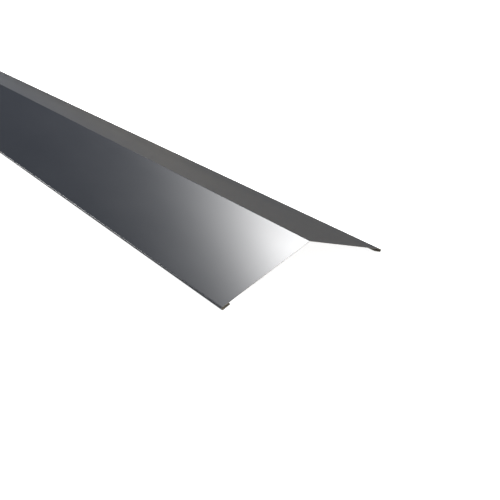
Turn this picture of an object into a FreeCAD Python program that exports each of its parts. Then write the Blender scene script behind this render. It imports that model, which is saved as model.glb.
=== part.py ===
"""Roof ridge cap: one length of painted steel sheet, folded once along the ridge and hemmed along both edges.

X runs along the ridge, Y across it and Z up. The origin is in the middle of the footprint, on the level that the
cap stands on: the lowest line of each hem touches Z = 0 and the ridge is up. Sizes are millimetres and degrees.
"""

import FreeCAD
import Part
import Sketcher
import math
import os

DRIVING_SIZES = {
    "cap_length": (2000, "stock length, cut square at both ends"),
    "flange_width": (150, "from the sharp corner of the ridge down the slope to the hem's outer edge"),
    "flange_slope": (20, "fall of each flange below level, so that the two meet at 140 degrees"),
    "sheet_thickness": (0.5, "steel with its zinc and paint"),
    "ridge_inner_radius": (1, "inside radius of the fold along the ridge"),
    "hem_gap": (3.5, "clear height inside the bend of the open hem"),
    "hem_width": (14, "from the hem's outer edge in to the raw edge of its leaf"),
    "hem_closing": (2, "angle by which the leaf closes towards the flange above it"),
}

# Each dimension of the half section, written out in the driving sizes.
RIDGE_INNER_RADIUS = "sizes.ridge_inner_radius"
SHEET_THICKNESS = "sizes.sheet_thickness"
HEM_INNER_RADIUS = "sizes.hem_gap / 2"
FLANGE_RUN = (
    "sizes.flange_width - (sizes.hem_gap / 2 + sizes.sheet_thickness)"
    " - (sizes.ridge_inner_radius + sizes.sheet_thickness) * tan(sizes.flange_slope * 1 deg)"
)
LEAF_RUN = (
    "(sizes.hem_width - (sizes.hem_gap / 2 + sizes.sheet_thickness) * (1 + sin(sizes.hem_closing * 1 deg)))"
    " / cos(sizes.hem_closing * 1 deg)"
)
FLANGE_DIRECTION = "180 deg - sizes.flange_slope * 1 deg"
LEAF_DIRECTION = "180 deg - (sizes.flange_slope + sizes.hem_closing) * 1 deg"

# How a sketch counts the ends of an edge, and its own two axes: the level, and the line under the ridge.
FIRST_END, LAST_END, CENTRE = 1, 2, 3
LEVEL, MIDDLE_LINE = -1, -2


def make_sizes(doc):
    """The sheet of driving sizes, one to a row with its name and what it measures."""
    sizes = doc.addObject("Spreadsheet::Sheet", "sizes")
    for row, (alias, (number, note)) in enumerate(DRIVING_SIZES.items(), start=1):
        sizes.set(f"A{row}", alias)
        sizes.set(f"B{row}", str(number))
        sizes.setAlias(f"B{row}", alias)
        sizes.set(f"C{row}", note)
    doc.recompute()
    return sizes


def origin_plane(body, role):
    """The body's own origin plane with that role."""
    return next(feature for feature in body.Origin.OriginFeatures if feature.Role == role)


def direction(degrees):
    """The unit vector at that angle, counter-clockwise from the sketch's horizontal axis."""
    return FreeCAD.Vector(math.cos(math.radians(degrees)), math.sin(math.radians(degrees)), 0)


def arc(centre, radius, first, last):
    """An arc that runs counter-clockwise from the first angle to the last, in degrees."""
    circle = Part.Circle(centre, FreeCAD.Vector(0, 0, 1), radius)
    return Part.ArcOfCircle(circle, math.radians(first), math.radians(last))


def draw_half_section(body, sizes):
    """Half of the section, from the ridge down the flange, round the hem's bend and back along its leaf.

    The outline is first drawn about where the sizes put it. Its constraints then hold it at one sheet thickness all
    along, with smooth bends, and give every radius, run and angle its own name and size.
    """
    sketch = body.newObject("Sketcher::SketchObject", "half_section")
    sketch.AttachmentSupport = [(origin_plane(body, "YZ_Plane"), "")]
    sketch.MapMode = "FlatFace"

    flange_angle = 90 - sizes.flange_slope
    leaf_angle = -90 - sizes.flange_slope - sizes.hem_closing
    flange_outward = direction(flange_angle)
    leaf_outward = direction(leaf_angle)
    leaf_inward = direction(leaf_angle - 90)

    thickness = sizes.sheet_thickness
    ridge_inner = sizes.ridge_inner_radius
    ridge_outer = ridge_inner + thickness
    hem_inner = sizes.hem_gap / 2
    hem_outer = hem_inner + thickness
    leaf_run = sizes.hem_width - hem_outer

    down_flange = direction(-sizes.flange_slope)
    to_hem = down_flange * (sizes.flange_width - hem_outer) + flange_outward * (ridge_outer - hem_outer)
    hem_centre = FreeCAD.Vector(to_hem.x, hem_outer, 0)
    ridge_centre = FreeCAD.Vector(0, hem_outer - to_hem.y, 0)
    raw_under = hem_centre + leaf_outward * hem_outer + leaf_inward * leaf_run
    raw_top = hem_centre + leaf_outward * hem_inner + leaf_inward * leaf_run

    ridge_outer_arc = arc(ridge_centre, ridge_outer, flange_angle, 90)
    flange_top = Part.LineSegment(
        ridge_centre + flange_outward * ridge_outer, hem_centre + flange_outward * hem_outer)
    hem_outer_arc = arc(hem_centre, hem_outer, leaf_angle, flange_angle)
    leaf_under = Part.LineSegment(hem_centre + leaf_outward * hem_outer, raw_under)
    raw_edge = Part.LineSegment(raw_under, raw_top)
    leaf_top = Part.LineSegment(raw_top, hem_centre + leaf_outward * hem_inner)
    hem_inner_arc = arc(hem_centre, hem_inner, leaf_angle, flange_angle)
    flange_under = Part.LineSegment(
        hem_centre + flange_outward * hem_inner, ridge_centre + flange_outward * ridge_inner)
    ridge_inner_arc = arc(ridge_centre, ridge_inner, flange_angle, 90)
    ridge_joint = Part.LineSegment(
        ridge_centre + FreeCAD.Vector(0, ridge_inner, 0), ridge_centre + FreeCAD.Vector(0, ridge_outer, 0))

    ridge_outer_arc, flange_top, hem_outer_arc, leaf_under, raw_edge = sketch.addGeometry(
        [ridge_outer_arc, flange_top, hem_outer_arc, leaf_under, raw_edge])
    leaf_top, hem_inner_arc, flange_under, ridge_inner_arc, ridge_joint = sketch.addGeometry(
        [leaf_top, hem_inner_arc, flange_under, ridge_inner_arc, ridge_joint])

    smooth_ends = [
        (ridge_outer_arc, FIRST_END, flange_top, FIRST_END),
        (flange_top, LAST_END, hem_outer_arc, LAST_END),
        (hem_outer_arc, FIRST_END, leaf_under, FIRST_END),
        (leaf_top, LAST_END, hem_inner_arc, FIRST_END),
        (hem_inner_arc, LAST_END, flange_under, FIRST_END),
        (flange_under, LAST_END, ridge_inner_arc, FIRST_END),
    ]
    shared_points = [
        (leaf_under, LAST_END, raw_edge, FIRST_END),
        (raw_edge, LAST_END, leaf_top, FIRST_END),
        (ridge_inner_arc, LAST_END, ridge_joint, FIRST_END),
        (ridge_joint, LAST_END, ridge_outer_arc, LAST_END),
        (ridge_inner_arc, CENTRE, ridge_outer_arc, CENTRE),
        (hem_inner_arc, CENTRE, hem_outer_arc, CENTRE),
    ]
    on_middle_line = [(ridge_outer_arc, CENTRE), (ridge_outer_arc, LAST_END), (ridge_inner_arc, LAST_END)]
    for ends in smooth_ends:
        sketch.addConstraint(Sketcher.Constraint("Tangent", *ends))
    for ends in shared_points:
        sketch.addConstraint(Sketcher.Constraint("Coincident", *ends))
    for end in on_middle_line:
        sketch.addConstraint(Sketcher.Constraint("PointOnObject", *end, MIDDLE_LINE))
    sketch.addConstraint(Sketcher.Constraint("Parallel", leaf_under, leaf_top))
    sketch.addConstraint(Sketcher.Constraint("Perpendicular", leaf_under, raw_edge))
    sketch.addConstraint(Sketcher.Constraint("Tangent", hem_outer_arc, LEVEL))

    dimensions = {
        "ridge_inner_radius": ("Radius", ridge_inner_arc, ridge_inner, RIDGE_INNER_RADIUS),
        "ridge_thickness": ("Distance", ridge_joint, thickness, SHEET_THICKNESS),
        "hem_inner_radius": ("Radius", hem_inner_arc, hem_inner, HEM_INNER_RADIUS),
        "leaf_thickness": ("Distance", raw_edge, thickness, SHEET_THICKNESS),
        "flange_run": ("Distance", flange_top, sizes.flange_width, FLANGE_RUN),
        "leaf_run": ("Distance", leaf_under, leaf_run, LEAF_RUN),
        "flange_direction": ("Angle", flange_under, math.radians(90 + flange_angle), FLANGE_DIRECTION),
        "leaf_direction": ("Angle", leaf_under, math.radians(leaf_angle + 270), LEAF_DIRECTION),
    }
    for name, (kind, edge, about, formula) in dimensions.items():
        constraint = sketch.addConstraint(Sketcher.Constraint(kind, edge, about))
        sketch.renameConstraint(constraint, name)
        sketch.setExpression(f"Constraints.{name}", formula)
    return sketch


def fold_cap(doc, sizes):
    """The folded sheet: one flange with its hem, run out to both ends, and its mirror image across the ridge."""
    body = doc.addObject("PartDesign::Body", "ridge_cap")
    body.Label = "ridge_cap"
    body.Placement = FreeCAD.Placement()

    one_flange = body.newObject("PartDesign::Pad", "one_flange")
    one_flange.Profile = draw_half_section(body, sizes)
    one_flange.SideType = "Symmetric"
    one_flange.setExpression("Length", "sizes.cap_length")
    doc.recompute()

    both_flanges = body.newObject("PartDesign::Mirrored", "both_flanges")
    both_flanges.Originals = [one_flange]
    both_flanges.MirrorPlane = (origin_plane(body, "XZ_Plane"), [""])
    both_flanges.Refine = True
    body.Tip = both_flanges
    doc.recompute()
    return body


def check(doc, bodies):
    """Stop unless every feature has been rebuilt, no sketch is loose and each piece is one sound solid."""
    for feature in doc.Objects:
        if "Invalid" in feature.State or "Error" in feature.State:
            raise RuntimeError(f"{feature.Name} failed: {feature.State}")
        if feature.TypeId == "Sketcher::SketchObject" and feature.solve() != 0:
            raise RuntimeError(f"{feature.Name} does not solve")
    for body in bodies:
        if body.Shape.isNull() or not body.Shape.isValid() or len(body.Shape.Solids) != 1:
            raise RuntimeError(f"{body.Label} is not one sound solid")


def write_parts(bodies):
    """Write each piece to a file that bears its label."""
    os.makedirs("parts", exist_ok=True)
    for body in bodies:
        body.Shape.exportStep(f"parts/{body.Label}.step")
        print(body.Label, body.Shape.BoundBox, f"volume {body.Shape.Volume:.1f}")


document = FreeCAD.newDocument("roof_ridge_cap")
pieces = [fold_cap(document, make_sizes(document))]
check(document, pieces)
write_parts(pieces)
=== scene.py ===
import math

import bpy
import numpy as np
from mathutils import Matrix, Vector


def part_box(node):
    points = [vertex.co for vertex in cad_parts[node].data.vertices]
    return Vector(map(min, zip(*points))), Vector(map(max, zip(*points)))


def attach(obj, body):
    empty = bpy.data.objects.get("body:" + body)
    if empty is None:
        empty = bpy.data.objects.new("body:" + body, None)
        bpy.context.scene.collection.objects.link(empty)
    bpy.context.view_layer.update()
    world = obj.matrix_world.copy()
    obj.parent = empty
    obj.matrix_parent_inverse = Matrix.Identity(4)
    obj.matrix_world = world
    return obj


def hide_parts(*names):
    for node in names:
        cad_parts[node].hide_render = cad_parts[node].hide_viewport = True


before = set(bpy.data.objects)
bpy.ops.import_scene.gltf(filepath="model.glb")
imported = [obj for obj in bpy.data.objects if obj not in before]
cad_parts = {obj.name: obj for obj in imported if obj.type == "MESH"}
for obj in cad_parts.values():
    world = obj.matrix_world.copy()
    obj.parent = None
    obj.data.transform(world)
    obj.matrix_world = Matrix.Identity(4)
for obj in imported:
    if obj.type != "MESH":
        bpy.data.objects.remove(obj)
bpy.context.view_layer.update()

# The ridge cap: one length of coil-coated steel sheet, folded once along the ridge to 140 degrees and turned
# under along both long edges into an open hem. A folder bends it cold, so the sheet keeps one thickness all
# along.
FLANGE_WIDTH = 0.150
FLANGE_SLOPE = math.radians(20)
SHEET_THICKNESS = 0.0005
RIDGE_INNER_RADIUS = 0.001
HEM_GAP = 0.0035
HEM_WIDTH = 0.014
HEM_CLOSING = math.radians(2)

RIDGE_STEPS = 8
FLANGE_STEPS = 24
HEM_STEPS = 36
LEAF_STEPS = 8
LENGTH_STEPS = 80
SMOOTH_BELOW = math.radians(30)

# The three finishes of the sheet, in the order in which its materials are laid on.
TOPCOAT, BACK_COAT, CUT_EDGE = range(3)


def crowded_to_the_ends(steps):
    """Shares of a run, (1 - cos(pi k / steps)) / 2 for k from 0 to steps, shortest next to the bends."""
    return (1 - np.cos(np.pi * np.arange(steps + 1) / steps)) / 2


def walk_half_section(ridge_top):
    """The middle of the sheet from the ridge line to one raw edge: its points (y, z) and the way out at each.

    The heading falls by the flange's slope round the ridge fold, and by half a turn and the closing angle
    round the hem. A step of length s that turns by a is the chord s sin(a / 2) / (a / 2), laid at the heading
    half-way along.
    """
    half_sheet = SHEET_THICKNESS / 2
    hem_outer = HEM_GAP / 2 + SHEET_THICKNESS
    ridge_outer = RIDGE_INNER_RADIUS + SHEET_THICKNESS
    hem_turn = math.pi + HEM_CLOSING
    stretches = [
        ((RIDGE_INNER_RADIUS + half_sheet) * FLANGE_SLOPE, FLANGE_SLOPE, RIDGE_STEPS),
        (FLANGE_WIDTH - hem_outer - ridge_outer * math.tan(FLANGE_SLOPE), 0.0, FLANGE_STEPS),
        ((HEM_GAP / 2 + half_sheet) * hem_turn, hem_turn, HEM_STEPS),
        ((HEM_WIDTH - hem_outer * (1 + math.sin(HEM_CLOSING))) / math.cos(HEM_CLOSING), 0.0, LEAF_STEPS),
    ]
    shares = [np.diff(crowded_to_the_ends(steps)) for _, _, steps in stretches]
    lengths = np.concatenate([run * share for (run, _, _), share in zip(stretches, shares)])
    turns = np.concatenate([turn * share for (_, turn, _), share in zip(stretches, shares)])
    headings = -np.concatenate([[0.0], np.cumsum(turns)])
    half_way = (headings[:-1] + headings[1:]) / 2
    chords = lengths * np.sinc(turns / 2 / np.pi)
    steps = chords[:, None] * np.column_stack([np.cos(half_way), np.sin(half_way)])
    middle = np.concatenate([np.zeros((1, 2)), np.cumsum(steps, axis=0)]) + [0.0, ridge_top - half_sheet]
    outward = np.column_stack([-np.sin(headings), np.cos(headings)])
    return middle, outward, np.concatenate([[0.0], np.cumsum(lengths)])


def whole_section(ridge_top):
    """The closed outline of the sheet, (y, z), and each point's place across the flat blank it was cut from.

    The half section is mirrored across the ridge. The outer side, middle + outward t / 2, runs from the left
    raw edge to the right one, and the inner side, middle - outward t / 2, runs back.
    """
    middle, outward, across = walk_half_section(ridge_top)
    mirror = np.array([-1.0, 1.0])
    middle = np.concatenate([middle[:0:-1] * mirror, middle])
    outward = np.concatenate([outward[:0:-1] * mirror, outward])
    across = np.concatenate([-across[:0:-1], across])
    outer = middle + outward * SHEET_THICKNESS / 2
    inner = middle - outward * SHEET_THICKNESS / 2
    return np.concatenate([outer, inner[::-1]]), np.concatenate([across, across[::-1]])


def fold_sheet(name, low_end, high_end, ridge_top):
    """The mesh of the folded sheet: its outline carried along X from one cut end to the other, both closed.

    Point (i, j) is (x_i, y_j, z_j). The faces between two rows take the topcoat, the back coat or the cut
    edge from their place in the outline, and a strip of quads from the outer side to the inner side closes
    each end.
    """
    outline, across = whole_section(ridge_top)
    along = np.linspace(low_end, high_end, LENGTH_STEPS + 1)
    around = len(outline)
    points = np.empty((LENGTH_STEPS + 1, around, 3))
    points[..., 0] = along[:, None]
    points[..., 1:] = outline

    index = np.arange(points[..., 0].size).reshape(points.shape[:2])
    onward = np.roll(index, -1, axis=1)
    sides = np.stack([index[:-1], index[1:], onward[1:], onward[:-1]], axis=-1).reshape(-1, 4)
    outer, inner = index[:, :around // 2], index[:, :around // 2 - 1:-1]
    ends = np.stack([outer[:, :-1], inner[:, :-1], inner[:, 1:], outer[:, 1:]], axis=-1)
    faces = np.concatenate([sides, ends[-1], ends[0, :, ::-1]])

    strip = np.full(around, TOPCOAT)
    strip[around // 2:] = BACK_COAT
    strip[[around // 2 - 1, around - 1]] = CUT_EDGE
    zones = np.concatenate([np.tile(strip, LENGTH_STEPS), np.full(len(faces) - len(sides), CUT_EDGE)])

    mesh = bpy.data.meshes.new(name)
    mesh.from_pydata(points.reshape(-1, 3), [], faces)
    mesh.polygons.foreach_set("material_index", zones)
    blank = np.stack(np.broadcast_arrays(along[:, None], across), axis=-1).reshape(-1, 2)
    mesh.uv_layers.new(name="flat_blank").data.foreach_set("uv", blank[faces].ravel())
    mesh.shade_smooth()
    mesh.set_sharp_from_angle(angle=SMOOTH_BELOW)
    piece = bpy.data.objects.new(name, mesh)
    bpy.context.scene.collection.objects.link(piece)
    return piece


cad_low, cad_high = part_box("ridge_cap")
folded_sheet = fold_sheet("folded_sheet", cad_low.x, cad_high.x, cad_high.z)
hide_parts("ridge_cap")
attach(folded_sheet, "root")


# The coating: a coil line rolls a primer and a satin topcoat on to the strip's face and a thin pale coat on
# its back, and bakes them, with a faint grain and mottling. That a reflection spreads further along the strip
# than across it was fitted to the highlight, with no known cause. Shearing draws zinc over the cut edges.
ANTHRACITE = (0.0305, 0.035, 0.0452, 1.0)
ANTHRACITE_PALER = (0.0335, 0.038, 0.0482, 1.0)
TOPCOAT_ROUGHNESS = 0.339
BACK_GREY = (0.45, 0.421, 0.366, 1.0)
BACK_GREY_DEEPER = (0.41, 0.383, 0.334, 1.0)
BACK_COAT_ROUGHNESS = 0.50
ROUGHNESS_SPREAD = 0.02
LENGTHWISE_SPREAD = 0.41

GRAINS_PER_METRE = 900.0
GRAIN_DRAWN_OUT = 0.35
GRAIN_DEPTH = 0.00001
GRAIN_DETAIL = 2.0
MOTTLES_PER_METRE = 14.0
MOTTLE_DETAIL = 3.0

ZINC = (0.23, 0.215, 0.189, 1.0)
ZINC_METALLIC = 0.6
CUT_PATCHES_PER_METRE = 600.0
CUT_SMOOTHEST = 0.50
CUT_ROUGHEST = 0.60


def make_roller_grain():
    """A node group: the grain's height and a broad mottling, both read from the flat blank's coordinates."""
    group = bpy.data.node_groups.new("roller_grain", "ShaderNodeTree")
    standards = {
        "Grains Per Metre": GRAINS_PER_METRE,
        "Drawn Out": GRAIN_DRAWN_OUT,
        "Mottles Per Metre": MOTTLES_PER_METRE,
    }
    for name, standard in standards.items():
        socket = group.interface.new_socket(name, in_out="INPUT", socket_type="NodeSocketFloat")
        socket.default_value = standard
    for name in ("Height", "Mottling"):
        group.interface.new_socket(name, in_out="OUTPUT", socket_type="NodeSocketFloat")
    nodes, links = group.nodes, group.links
    given, result = nodes.new("NodeGroupInput"), nodes.new("NodeGroupOutput")
    blank = nodes.new("ShaderNodeUVMap")
    blank.uv_map = "flat_blank"

    stretch = nodes.new("ShaderNodeCombineXYZ")
    stretch.inputs["Y"].default_value = 1.0
    links.new(given.outputs["Drawn Out"], stretch.inputs["X"])
    drawn = nodes.new("ShaderNodeVectorMath")
    drawn.operation = "MULTIPLY"
    links.new(blank.outputs["UV"], drawn.inputs[0])
    links.new(stretch.outputs["Vector"], drawn.inputs[1])

    grain = nodes.new("ShaderNodeTexNoise")
    grain.inputs["Detail"].default_value = GRAIN_DETAIL
    mottle = nodes.new("ShaderNodeTexNoise")
    mottle.inputs["Detail"].default_value = MOTTLE_DETAIL
    for noise, scale in ((grain, "Grains Per Metre"), (mottle, "Mottles Per Metre")):
        noise.noise_dimensions = "2D"
        links.new(drawn.outputs["Vector"], noise.inputs["Vector"])
        links.new(given.outputs[scale], noise.inputs["Scale"])
    links.new(grain.outputs["Fac"], result.inputs["Height"])
    links.new(mottle.outputs["Fac"], result.inputs["Mottling"])
    return group


def new_material(name):
    """A material with its node tree and its Principled shader."""
    material = bpy.data.materials.new(name)
    material.use_nodes = True
    return material, material.node_tree, material.node_tree.nodes["Principled BSDF"]


def make_coating(name, colour, other_shade, roughness):
    """A baked paint: two near shades and two near roughnesses that the mottling blends, over the grain."""
    material, tree, shader = new_material(name)
    nodes, links = tree.nodes, tree.links
    texture = nodes.new("ShaderNodeGroup")
    texture.node_tree = roller_grain
    shade = nodes.new("ShaderNodeMix")
    shade.data_type = "RGBA"
    shade.inputs["A"].default_value = colour
    shade.inputs["B"].default_value = other_shade
    dullness = nodes.new("ShaderNodeMapRange")
    dullness.inputs["To Min"].default_value = roughness - ROUGHNESS_SPREAD
    dullness.inputs["To Max"].default_value = roughness + ROUGHNESS_SPREAD
    relief = nodes.new("ShaderNodeBump")
    relief.inputs["Distance"].default_value = GRAIN_DEPTH
    links.new(texture.outputs["Mottling"], shade.inputs["Factor"])
    links.new(texture.outputs["Mottling"], dullness.inputs["Value"])
    links.new(texture.outputs["Height"], relief.inputs["Height"])
    links.new(shade.outputs["Result"], shader.inputs["Base Color"])
    links.new(dullness.outputs["Result"], shader.inputs["Roughness"])
    links.new(relief.outputs["Normal"], shader.inputs["Normal"])
    strip_line = nodes.new("ShaderNodeTangent")
    strip_line.direction_type = "UV_MAP"
    strip_line.uv_map = "flat_blank"
    shader.inputs["Anisotropic"].default_value = LENGTHWISE_SPREAD
    links.new(strip_line.outputs["Tangent"], shader.inputs["Tangent"])
    return material


def make_cut_edge():
    """Sheared steel: the zinc drawn over the cut, with fine patches that are smoother or rougher."""
    material, tree, shader = new_material("cut_edge")
    nodes, links = tree.nodes, tree.links
    place = nodes.new("ShaderNodeTexCoord")
    patches = nodes.new("ShaderNodeTexNoise")
    patches.inputs["Scale"].default_value = CUT_PATCHES_PER_METRE
    dullness = nodes.new("ShaderNodeMapRange")
    dullness.inputs["To Min"].default_value = CUT_SMOOTHEST
    dullness.inputs["To Max"].default_value = CUT_ROUGHEST
    links.new(place.outputs["Object"], patches.inputs["Vector"])
    links.new(patches.outputs["Fac"], dullness.inputs["Value"])
    links.new(dullness.outputs["Result"], shader.inputs["Roughness"])
    shader.inputs["Base Color"].default_value = ZINC
    shader.inputs["Metallic"].default_value = ZINC_METALLIC
    return material


roller_grain = make_roller_grain()
topcoat = make_coating("anthracite_topcoat", ANTHRACITE, ANTHRACITE_PALER, TOPCOAT_ROUGHNESS)
back_coat = make_coating("grey_back_coat", BACK_GREY, BACK_GREY_DEEPER, BACK_COAT_ROUGHNESS)
for coat in (topcoat, back_coat, make_cut_edge()):
    folded_sheet.data.materials.append(coat)


# The stage: a pale floor, a white surround, a soft key lamp high over the far half, another aimed at the cut
# end that shows in no reflection, and a small one for the left hem's line that shows only in reflections.
# Cards that only reflections see keep the white of floor and surround out of the coating.
WHITE = (1.0, 1.0, 1.0, 1.0)
STAGE_ROUGHNESS = 0.9
FLOOR_HALF = 12.0
FLOOR_COLOUR = (0.80, 0.80, 0.80, 1.0)
FLOOR_GLOW = 0.92
SURROUND_LIGHT = 0.30
SURROUND_LOOK = 1.0

CARD_LIFT = 0.001
CARD_BLACK = (0.02, 0.02, 0.02, 1.0)
FAR_CARD_RADIUS = 4.0
FAR_CARD_HEIGHT = 16.0
FAR_CARD_FIRST = math.radians(70)
FAR_CARD_LAST = math.radians(290)
FAR_CARD_STEPS = 48
RIGHT_BROWN = (0.195, 0.165, 0.111, 1.0)
RIGHT_CARD_ALONG = (0.4, 3.0)
RIGHT_PALER_BROWN = (0.407, 0.344, 0.235, 1.0)
PALER_RIGHT_CARD_ALONG = (-0.7, 0.4)
RIGHT_CARDS_ACROSS = (0.15, 4.0)
LEFT_BROWN = (0.04, 0.037, 0.034, 1.0)
LEFT_CARD_ALONG = (-4.0, 1.5)
LEFT_CARD_ACROSS = (-0.143, -3.0)

KEY_PLACE = (-0.515, 0.456, 1.968)
KEY_AIM = (0.9, -0.05, 0.0)
KEY_SIDE = 0.503
KEY_POWER = 56.0
END_LAMP_PLACE = (1.25, 2.1, 0.52)
END_LAMP_AIM = (1.0, 0.0, 0.01)
END_LAMP_SIDE = 0.4
END_LAMP_POWER = 60.0
HEM_LAMP_PLACE = (-1.93, -1.27, 1.01)
HEM_LAMP_AIM = (0.6, -0.14, 0.0)
HEM_LAMP_SIDE = 0.30
HEM_LAMP_POWER = 30.0


def background_only(tree):
    """1 where the camera, a reflection or a transmission looks straight at the surface, and 0 elsewhere."""
    path = tree.nodes.new("ShaderNodeLightPath")
    seen = path.outputs["Is Camera Ray"]
    for kind in ("Is Glossy Ray", "Is Transmission Ray"):
        either = tree.nodes.new("ShaderNodeMath")
        either.operation = "MAXIMUM"
        tree.links.new(seen, either.inputs[0])
        tree.links.new(path.outputs[kind], either.inputs[1])
        seen = either.outputs["Value"]
    return seen


def stage_sheet(name, points, faces, colour):
    """A matte sheet of the stage without any shine, and its node tree and shader."""
    mesh = bpy.data.meshes.new(name)
    mesh.from_pydata(points, [], faces)
    sheet = bpy.data.objects.new(name, mesh)
    bpy.context.scene.collection.objects.link(sheet)
    material, tree, shader = new_material(name)
    shader.inputs["Base Color"].default_value = colour
    shader.inputs["Roughness"].default_value = STAGE_ROUGHNESS
    shader.inputs["Specular IOR Level"].default_value = 0.0
    mesh.materials.append(material)
    return sheet, tree, shader


def make_floor():
    """A flat square under the cap, matte and pale, that adds some light of its own where it is looked at."""
    corners = np.array([[-1, -1, 0], [1, -1, 0], [1, 1, 0], [-1, 1, 0]]) * FLOOR_HALF
    _, tree, shader = stage_sheet("floor", corners, [(0, 1, 2, 3)], FLOOR_COLOUR)
    shader.inputs["Emission Color"].default_value = WHITE
    glow = tree.nodes.new("ShaderNodeMath")
    glow.operation = "MULTIPLY"
    glow.inputs[1].default_value = FLOOR_GLOW
    tree.links.new(background_only(tree), glow.inputs[0])
    tree.links.new(glow.outputs["Value"], shader.inputs["Emission Strength"])


def make_card(name, first_line, last_line, colour):
    """A card from one line of points to another, that only reflections see."""
    count = len(first_line)
    point = np.arange(count - 1)
    faces = np.stack([point, point + 1, point + 1 + count, point + count], axis=-1)
    card, _, _ = stage_sheet(name, np.concatenate([first_line, last_line]), faces, colour)
    card.visible_camera = False
    card.visible_diffuse = False
    card.visible_shadow = False


def make_far_card():
    """An upright card on an arc round the far end: its foot is radius (cos a, sin a, 0), a in even steps."""
    angle = np.linspace(FAR_CARD_FIRST, FAR_CARD_LAST, FAR_CARD_STEPS + 1)
    foot = FAR_CARD_RADIUS * np.column_stack([np.cos(angle), np.sin(angle), 0 * angle])
    make_card("far_card", foot, foot + [0.0, 0.0, FAR_CARD_HEIGHT], CARD_BLACK)


def make_floor_card(name, along, across, colour):
    """A card on the floor beside the cap, between two places along the ridge and two across it."""
    inner, outer = across
    near_cap = np.array([[x, inner, CARD_LIFT] for x in along])
    make_card(name, near_cap, near_cap + [0.0, outer - inner, 0.0], colour)


def make_surround():
    """The world: white where it is looked at, and a plainer grey level where it only lights."""
    world = bpy.data.worlds.new("surround")
    world.use_nodes = True
    tree = world.node_tree
    level = tree.nodes.new("ShaderNodeMapRange")
    level.inputs["To Min"].default_value = SURROUND_LIGHT
    level.inputs["To Max"].default_value = SURROUND_LOOK
    tree.links.new(background_only(tree), level.inputs["Value"])
    tree.links.new(level.outputs["Result"], tree.nodes["Background"].inputs["Strength"])
    tree.nodes["Background"].inputs["Color"].default_value = WHITE
    bpy.context.scene.world = world


def make_softbox(name, place, aim, side, power):
    """A square area lamp at one point that faces another."""
    light = bpy.data.lights.new(name, "AREA")
    light.size = side
    light.energy = power
    lamp = bpy.data.objects.new(name, light)
    lamp.location = place
    lamp.rotation_euler = (Vector(aim) - Vector(place)).to_track_quat("-Z", "Y").to_euler()
    lamp.visible_camera = False
    bpy.context.scene.collection.objects.link(lamp)
    return lamp


make_floor()
make_surround()
make_far_card()
make_floor_card("right_card", RIGHT_CARD_ALONG, RIGHT_CARDS_ACROSS, RIGHT_BROWN)
make_floor_card("paler_right_card", PALER_RIGHT_CARD_ALONG, RIGHT_CARDS_ACROSS, RIGHT_PALER_BROWN)
make_floor_card("left_card", LEFT_CARD_ALONG, LEFT_CARD_ACROSS, LEFT_BROWN)
make_softbox("key_softbox", KEY_PLACE, KEY_AIM, KEY_SIDE, KEY_POWER)
end_softbox = make_softbox("end_softbox", END_LAMP_PLACE, END_LAMP_AIM, END_LAMP_SIDE, END_LAMP_POWER)
hem_softbox = make_softbox("hem_softbox", HEM_LAMP_PLACE, HEM_LAMP_AIM, HEM_LAMP_SIDE, HEM_LAMP_POWER)
end_softbox.visible_glossy = False
hem_softbox.visible_diffuse = False


# The camera: a 50 mm lens on a 36 mm frame, off the near cut end on the left, looking down across the cap.
CAMERA_PLACE = Vector((1.5969, -0.5581, 0.4300))
CAMERA_PITCH = math.radians(25.55)
CAMERA_HEADING = math.radians(142.34)
CAMERA_ROLL = math.radians(0.63)
CAMERA_LENS = 50.0
FRAME_WIDTH = 36.0


def make_camera():
    """A camera that looks down by its pitch along its heading, turned by its roll about its line of sight."""
    data = bpy.data.cameras.new("camera")
    data.lens = CAMERA_LENS
    data.sensor_width = FRAME_WIDTH
    camera = bpy.data.objects.new("camera", data)
    ahead = Vector((math.cos(CAMERA_HEADING) * math.cos(CAMERA_PITCH),
                    math.sin(CAMERA_HEADING) * math.cos(CAMERA_PITCH), -math.sin(CAMERA_PITCH)))
    turn = ahead.to_track_quat("-Z", "Y").to_matrix() @ Matrix.Rotation(CAMERA_ROLL, 3, "Z")
    camera.matrix_world = Matrix.Translation(CAMERA_PLACE) @ turn.to_4x4()
    bpy.context.scene.collection.objects.link(camera)
    bpy.context.scene.camera = camera


make_camera()
bpy.context.scene.view_settings.view_transform = "Standard"
